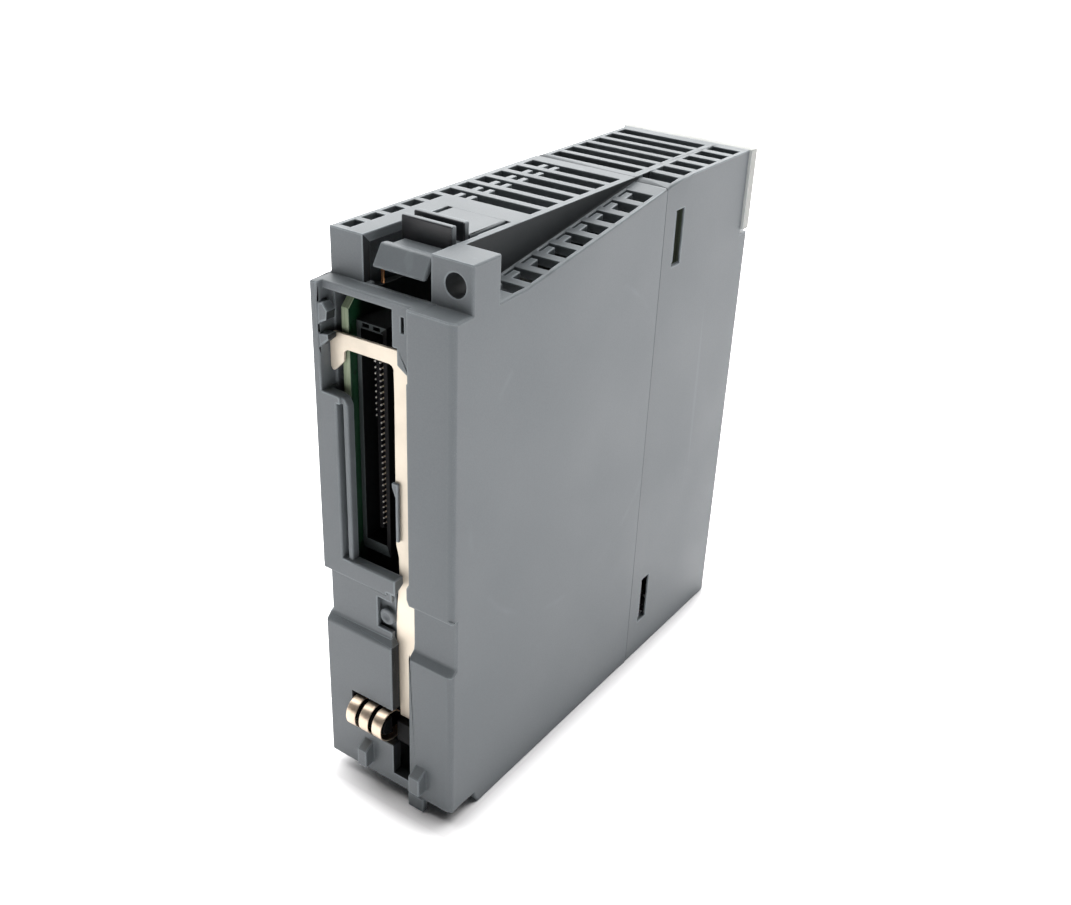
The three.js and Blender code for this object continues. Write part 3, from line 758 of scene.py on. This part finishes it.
WEB_INSET = 0.1 * MM
WEB_REACH = 0.07 * MM
WEB_THICKNESS = 0.7 * MM


def latch_web():
    """The thin bend that joins the latch's tongue to the casing, level with the top."""
    low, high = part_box("latch_lever")
    bm = bmesh.new()
    near = (low.x + WEB_INSET, low.y - WEB_REACH, TOP_Z - WEB_THICKNESS)
    far = (high.x - WEB_INSET, low.y, TOP_Z)
    box_into(bm, near, far)
    bmesh.ops.recalc_face_normals(bm, faces=bm.faces)
    new_piece("latch_web", mesh_of("latch_web", bm, BODY), ROOT_BODY)


DIGIT_SIZE = 1.7 * MM
DIGIT_RING = 4.9 * MM
DIGIT_RELIEF = 0.04 * MM


def dial_digits(i):
    """The ten numbers round a setting dial, raised a hair from the front face."""
    low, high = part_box(f"switch_rotor_{i}")
    middle = (low + high) / 2
    face = Vector((middle.x, FRONT_LOW.y, middle.z))
    bm = bmesh.new()
    for digit in range(10):
        curve = bpy.data.curves.new(f"digit_{digit}", "FONT")
        curve.body = str(digit)
        curve.size = DIGIT_SIZE
        curve.extrude = DIGIT_RELIEF
        curve.align_x = "CENTER"
        curve.align_y = "CENTER"
        text = bpy.data.objects.new(curve.name, curve)
        glyph = bpy.data.meshes.new_from_object(text)
        turn = digit * math.tau / 10
        place = face + DIGIT_RING * Vector((math.sin(turn), 0, math.cos(turn)))
        glyph.transform(Matrix.Translation(place) @ Matrix.Rotation(math.pi / 2, 4, "X"))
        bm.from_mesh(glyph)
        bpy.data.objects.remove(text)
    bmesh.ops.remove_doubles(bm, verts=bm.verts, dist=MERGE_GLYPHS)
    bmesh.ops.recalc_face_normals(bm, faces=bm.faces)
    mesh = mesh_of(f"dial_digits_{i}", bm, INK)
    mesh.set_sharp_from_angle(angle=SHARP)
    new_piece(mesh.name, mesh, ROOT_BODY)


refined_copies()
earth_springs()
spring_pads()
latch_web()
for i in (1, 2):
    dial_digits(i)
plate_stake()
pin_tips("pin_tips_a", "bus_contacts_a", ROW_A_X)
pin_tips("pin_tips_b", "bus_contacts_b", ROW_B_X, first=FIRST_SEEN_IN_B)


# ---- floor, light and camera ------------------------------------------------------------------

# The floor is lit from below, as on a light table, up to a little way from the module; the glow fading out
# around the module is a painted contact shadow.
FLOOR_HALF = 6.0
FLOOR_GLOW = 0.75
PAINTED_SHADOW_FADE = 5 * MM


def beyond_footprint(n):
    """Distance on the floor from the footprint of the module."""
    low, high = cad_bounds
    middle = (low + high) / 2
    half = (high - low) / 2
    away = n.add("VectorMath", {0: n.coords, 1: (middle.x, middle.y, 0)}, operation="SUBTRACT").outputs[0]
    away = n.add("VectorMath", {0: away}, operation="ABSOLUTE").outputs[0]
    away = n.add("VectorMath", {0: away, 1: (half.x, half.y, 0)}, operation="SUBTRACT").outputs[0]
    away = n.add("VectorMath", {0: away, 1: (0, 0, 0)}, operation="MAXIMUM").outputs[0]
    return n.add("VectorMath", {0: away}, operation="LENGTH").outputs["Value"]


def floor():
    mesh = bpy.data.meshes.new("floor")
    corners = [(x * FLOOR_HALF, y * FLOOR_HALF, 0) for x, y in ((-1, -1), (1, -1), (1, 1), (-1, 1))]
    mesh.from_pydata(corners, [], [(0, 1, 2, 3)])
    n = Nodes("floor_white")
    pale = n.ramp(n.noise(3), (NOISE_LOW, (0.93, 0.92, 0.925)), (NOISE_HIGH, (0.95, 0.94, 0.945)))
    n.set(Base_Color=pale)
    n.shader.inputs["Roughness"].default_value = 0.7
    n.shader.inputs["Emission Color"].default_value = (1, 0.985, 0.99, 1)
    # Painted contact shadow: no glow at the footprint, full glow a short way from it.
    n.set(Emission_Strength=n.remap(beyond_footprint(n), 0, PAINTED_SHADOW_FADE, 0, FLOOR_GLOW))
    mesh.materials.append(n.material)
    obj = bpy.data.objects.new("floor", mesh)
    bpy.context.scene.collection.objects.link(obj)


# Brightness of the surroundings by the sine of the height above the horizon.
WALLS = [(0.0, 0.4), (0.11, 0.35), (0.18, 0.01), (1.0, 0.015)]
# Brightness of the soft box by the cosine of the angle to its middle.
SOFT_BOX = [(0.0, 0.0), (0.5, 0.0), (0.7, 1.0), (1.0, 1.0)]
SOFT_BOX_TOWARDS = Vector((0.4, -0.6, 0.8)).normalized()
SOFT_BOX_RADIANCE = 4.2


def grey_ramp(tree, value, stops):
    ramp = tree.nodes.new("ShaderNodeValToRGB")
    fill_ramp(ramp, [(place, (strength, strength, strength)) for place, strength in stops])
    tree.links.new(value, ramp.inputs["Fac"])
    return ramp.outputs["Color"]


def studio():
    """A wide soft box beyond and above the module, dim walls and a pale horizon, as one sky."""
    world = bpy.data.worlds.new("studio")
    world.use_nodes = True
    tree = world.node_tree
    direction = tree.nodes.new("ShaderNodeTexCoord").outputs["Generated"]
    height = tree.nodes.new("ShaderNodeSeparateXYZ")
    tree.links.new(direction, height.inputs["Vector"])
    nearness = tree.nodes.new("ShaderNodeVectorMath")
    nearness.operation = "DOT_PRODUCT"
    tree.links.new(direction, nearness.inputs[0])
    nearness.inputs[1].default_value = SOFT_BOX_TOWARDS
    walls = tree.nodes["Background"]
    tree.links.new(grey_ramp(tree, height.outputs["Z"], WALLS), walls.inputs["Color"])
    box = tree.nodes.new("ShaderNodeBackground")
    tree.links.new(grey_ramp(tree, nearness.outputs["Value"], SOFT_BOX), box.inputs["Color"])
    box.inputs["Strength"].default_value = SOFT_BOX_RADIANCE
    both = tree.nodes.new("ShaderNodeAddShader")
    tree.links.new(walls.outputs["Background"], both.inputs[0])
    tree.links.new(box.outputs["Background"], both.inputs[1])
    tree.links.new(both.outputs["Shader"], tree.nodes["World Output"].inputs["Surface"])
    bpy.context.scene.world = world
    bpy.context.scene.view_settings.view_transform = "Standard"


# The camera stands behind and above the module, off its -X side, and looks forwards and down.
CAMERA_PLACE = Vector((-106.85 * MM, REAR_Y + 118.97 * MM, 153.23 * MM))
CAMERA_HEADING = math.radians(-56.137)
CAMERA_DIP = math.radians(28.242)
CAMERA_ROLL = math.radians(2.497)
LENS = 41.065


def camera():
    data = bpy.data.cameras.new("camera")
    data.sensor_width = 36
    data.lens = LENS
    data.clip_start = 0.01
    obj = bpy.data.objects.new("camera", data)
    level = Matrix.Rotation(CAMERA_HEADING - math.pi / 2, 4, "Z")
    tilt = Matrix.Rotation(math.pi / 2 - CAMERA_DIP, 4, "X")
    roll = Matrix.Rotation(CAMERA_ROLL, 4, "Z")
    obj.matrix_world = Matrix.Translation(CAMERA_PLACE) @ level @ tilt @ roll
    bpy.context.scene.collection.objects.link(obj)
    bpy.context.scene.camera = obj


floor()
studio()
camera()
